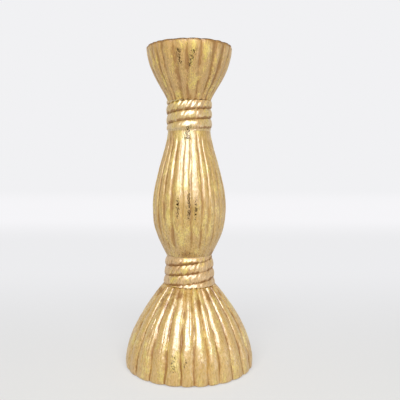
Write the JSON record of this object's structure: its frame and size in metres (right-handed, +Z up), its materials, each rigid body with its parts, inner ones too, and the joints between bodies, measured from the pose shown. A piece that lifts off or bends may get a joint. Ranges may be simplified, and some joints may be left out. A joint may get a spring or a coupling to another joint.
{
  "type": "candlestick",
  "caption": "Gilded fluted candlestick shaped like a gathered bundle, bound with rope at both necks, with a lift-out brass candle pan in its flared cup.",
  "frame": {"origin": "on the stick's axis, at the underside of the felt pad, where it stands", "axes": "+Z up along the stick's axis, -Y towards the viewer of the picture, +X to that viewer's right"},
  "size_m": [0.1215, 0.1215, 0.3],
  "materials": {
    "gilding": "cast resin under aged gold leaf, rubbed on the crowns and dark in the grooves",
    "rope_gilding": "stiffened rope under aged gold leaf",
    "bare_casting": "ungilded cast resin with a red-brown ground",
    "brass": "spun sheet, lightly tarnished",
    "zinc_steel": "zinc plated",
    "felt": "dense felt",
    "fibreboard": "bare fibreboard"
  },
  "bodies": {
    "stick": {"felt_pad": "felt", "base_disc": "fibreboard", "foot_bell": "gilding", "lower_spool": "bare_casting", "lower_rope_binding": "rope_gilding", "stem_baluster": "gilding", "upper_spool": "bare_casting", "upper_rope_binding": "rope_gilding", "candle_cup": "gilding", "tie_rod": "zinc_steel", "cup_washer": "zinc_steel", "cup_nut": "zinc_steel", "clamp_plate": "zinc_steel", "spring_washer": "zinc_steel", "foot_nut": "zinc_steel"},
    "pan": {"candle_pan": "brass"}
  },
  "joints": [
    {"name": "pan_lift", "type": "slide", "parent": "stick", "child": "pan", "axis": [0, 0, 1], "range_m": [0, 0.03]}
  ]
}
